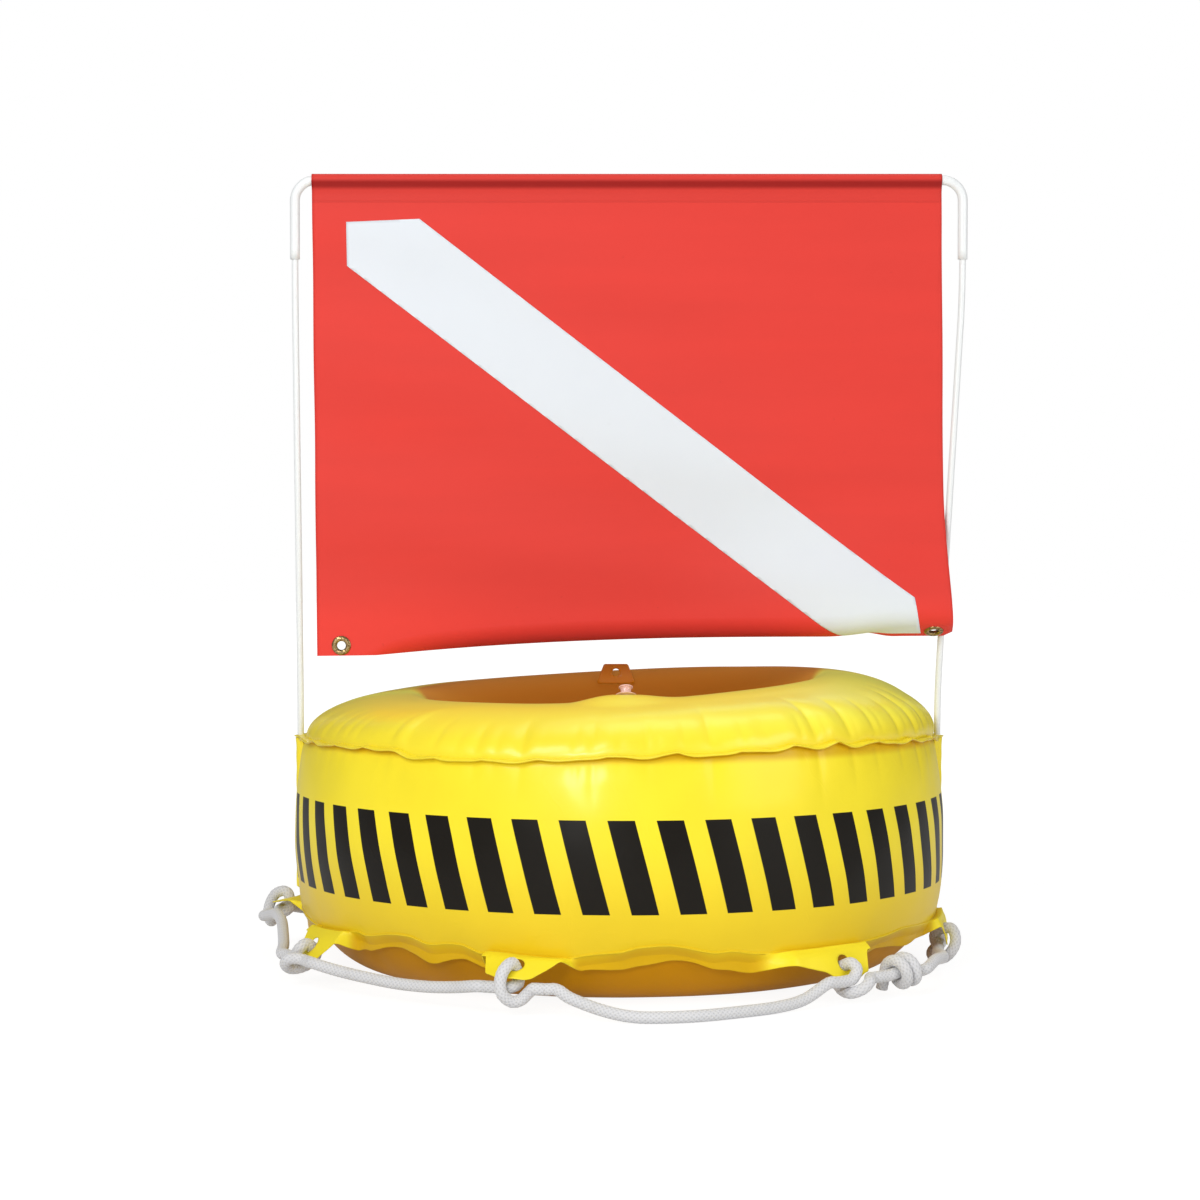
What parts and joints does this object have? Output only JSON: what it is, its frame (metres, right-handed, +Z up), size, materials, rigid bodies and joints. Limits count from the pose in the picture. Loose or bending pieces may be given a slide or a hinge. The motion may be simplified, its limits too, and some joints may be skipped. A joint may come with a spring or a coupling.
{
  "type": "dive flag float",
  "caption": "Inflatable ring float with a rope laced round its lower tabs; two thin rods in side sleeves carry an inverted U tube, from which a red flag with a white diagonal stripe hangs",
  "frame": {"origin": "on the ground at the centre of the ring, under the middle of the whole object", "axes": "+Z up, -Y the front that the flag faces, +X to the right seen from the front"},
  "size_m": [0.6997, 0.7323, 0.7677],
  "materials": {
    "yellow_vinyl": "glossy welded PVC sheet, bright yellow",
    "red_vinyl": "vinyl coated flag cloth, satin red",
    "white_vinyl": "vinyl film, satin white",
    "clear_vinyl": "translucent soft PVC, pinkish",
    "white_plastic": "white fibreglass rod and PVC tube",
    "brass": "tarnished brass",
    "white_rope": "white braided polypropylene"
  },
  "bodies": {
    "float": {"outer_wall": "yellow_vinyl", "top_panel": "yellow_vinyl", "inner_wall": "yellow_vinyl", "bottom_panel": "yellow_vinyl", "rod_pocket_left": "yellow_vinyl", "rod_pocket_right": "yellow_vinyl", "rear_tab": "yellow_vinyl", "valve_base": "clear_vinyl", "rope_stretch_1": "white_rope", "rope_stretch_2": "white_rope", "rope_stretch_3": "white_rope", "rope_stretch_4": "white_rope", "rope_stretch_5": "white_rope", "rope_stretch_6": "white_rope", "rope_stretch_7": "white_rope", "rope_stretch_8": "white_rope", "rope_knot_1": "white_rope", "rope_knot_2": "white_rope", "rope_knot_3": "white_rope", "rope_knot_4": "white_rope", "rope_knot_5": "white_rope", "rope_knot_6": "white_rope", "rope_knot_7": "white_rope", "rope_knot_8": "white_rope", "joining_knot": "white_rope"},
    "frame": {"rod_left": "white_plastic", "rod_right": "white_plastic"},
    "flag_bar": {"top_tube": "white_plastic"},
    "flag": {"flag_panel": "red_vinyl", "flag_stripe": "white_vinyl", "grommet_left": "brass", "grommet_right": "brass", "grommet_washer_left": "brass", "grommet_washer_right": "brass"},
    "valve_stopper": {"valve_cap": "clear_vinyl"}
  },
  "joints": [
    {"name": "rods_in_sleeves", "type": "slide", "parent": "float", "child": "frame", "axis": [0, 0, 1], "range_m": [0, 0.14]},
    {"name": "tube_on_rods", "type": "slide", "parent": "frame", "child": "flag_bar", "axis": [0, 0, 1], "range_m": [0, 0.05]},
    {"name": "flag_swing", "type": "hinge", "parent": "flag_bar", "child": "flag", "pos_m": [0, 0, 0.7615], "axis": [1, 0, 0], "range_deg": [-75, 0]},
    {"name": "stopper_strap", "type": "hinge", "parent": "float", "child": "valve_stopper", "pos_m": [0.0047, -0.1812, 0.2699], "axis": [-0.9997, -0.0262, 0], "range_deg": [0, 120]}
  ]
}
